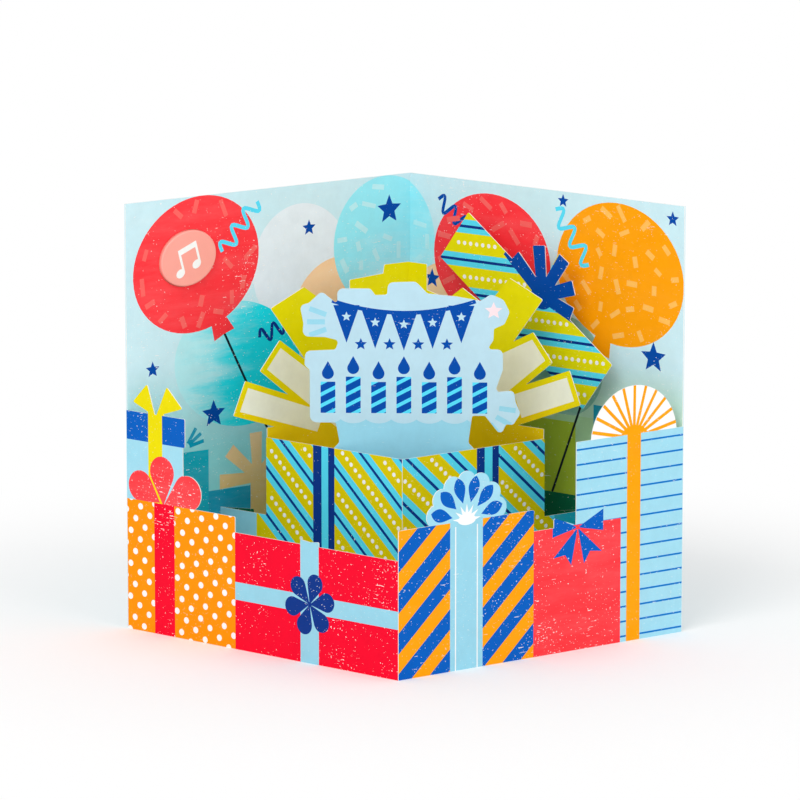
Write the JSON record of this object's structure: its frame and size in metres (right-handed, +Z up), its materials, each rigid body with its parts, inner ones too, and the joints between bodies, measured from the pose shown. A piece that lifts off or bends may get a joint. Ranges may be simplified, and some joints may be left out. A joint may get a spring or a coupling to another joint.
{
  "type": "pop up card",
  "caption": "Standing folded pop-up card with die-cut gift fronts, a gift box, rays, a plaque, a tilted lid and a press button on a hidden sound module.",
  "frame": {"origin": "middle of the footprint, on the surface that the card stands on", "axes": "+Z up; the viewer stands at -Y, so the front fold is at -Y, the back fold at +Y and the side folds at -X and +X"},
  "size_m": [0.2346, 0.1823, 0.182],
  "materials": {
    "ring_print": "satin coated board, printed with gifts and balloons",
    "cover_print": "satin coated board, printed pale blue",
    "band_print": "satin coated board, lime with blue stripes",
    "burst_print": "satin coated board, lime with cream fields",
    "plaque_print": "satin coated board, light blue",
    "lid_print": "satin coated board, lime and blue stripes",
    "plain_board": "uncoated white board",
    "button_plastic": "moulded salmon plastic",
    "switch_plastic": "black moulded plastic",
    "tray_plastic": "white sheet plastic",
    "circuit": "green circuit laminate",
    "black_resin": "glossy resin drop",
    "ceramic_part": "small ceramic part",
    "speaker_metal": "pressed steel",
    "magnet_metal": "plated magnet",
    "speaker_film": "thin clear film",
    "foam": "soft foam ring",
    "cell_metal": "bright steel can",
    "contact_metal": "plated spring strip",
    "red_wire": "wire insulation",
    "black_wire": "wire insulation"
  },
  "bodies": {
    "card": {"battery_holder": "switch_plastic", "battery_wire_1": "red_wire", "battery_wire_2": "black_wire", "button_cell_1": "cell_metal", "button_cell_2": "cell_metal", "button_cell_3": "cell_metal", "capacitor": "ceramic_part", "circuit_board": "circuit", "contact_lower_link": "contact_metal", "contact_minus": "contact_metal", "contact_plus": "contact_metal", "contact_upper_link": "contact_metal", "cover": "cover_print", "gift_band": "band_print", "gift_lid": "lid_print", "greeting_plaque": "plaque_print", "inner_ring": "ring_print", "lid_strut": "plain_board", "module_tray": "tray_plastic", "ray_burst": "burst_print", "resistor": "ceramic_part", "sound_chip": "black_resin", "speaker_basket": "speaker_metal", "speaker_diaphragm": "speaker_film", "speaker_gasket": "foam", "speaker_magnet": "magnet_metal", "speaker_wire_1": "red_wire", "speaker_wire_2": "black_wire", "switch_body": "switch_plastic"},
    "button": {"push_button": "button_plastic", "switch_stem": "switch_plastic"}
  },
  "joints": [
    {"name": "button_press", "type": "slide", "parent": "card", "child": "button", "axis": [-0.6129, 0.7902, 0], "range_m": [0, 0.0008], "stiffness_N_per_m": 900}
  ]
}
